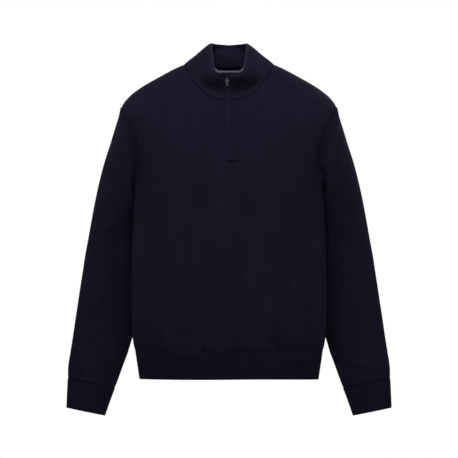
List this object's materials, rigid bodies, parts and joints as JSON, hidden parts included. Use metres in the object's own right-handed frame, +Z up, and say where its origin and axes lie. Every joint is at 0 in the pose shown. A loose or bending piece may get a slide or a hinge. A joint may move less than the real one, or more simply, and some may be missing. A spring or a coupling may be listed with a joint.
{
  "type": "quarter zip sweater",
  "caption": "Worn, hollow knitted pullover with long sleeves, a stand collar, a short front zip, and ribbed hem and cuffs.",
  "frame": {"origin": "on the middle plane between the shoulders, at the height where the wearer's shoulders hold the garment", "axes": "+Z up, -Y to the garment's front, +X to the wearer's left"},
  "size_m": [0.701, 0.2337, 0.8006],
  "materials": {
    "knit": "fine plain knit, navy, matt with a soft nap",
    "rib": "ribbed knit, navy, matt",
    "edge": "grey lavender knitted edge, matt",
    "tape": "woven zip tape, navy",
    "metal": "dark nickel, worn bright on its edges"
  },
  "bodies": {
    "garment": {"front_panel": "knit", "back_panel": "knit", "sleeve_left": "knit", "sleeve_right": "knit", "collar": "rib", "collar_edge_left": "edge", "collar_edge_right": "edge", "hem_rib": "rib", "cuff_left": "rib", "cuff_right": "rib", "zip_welt_left": "rib", "zip_welt_right": "rib", "zip_foot": "rib", "zip_tape_left": "tape", "zip_tape_right": "tape", "zip_slider": "metal"},
    "tab": {"pull_tab": "metal"}
  },
  "joints": [
    {"name": "pull_tab_hinge", "type": "hinge", "parent": "garment", "child": "tab", "pos_m": [-0.00383, -0.08599, -0.0106], "axis": [-1, 0, 0], "range_deg": [0, 150]}
  ]
}
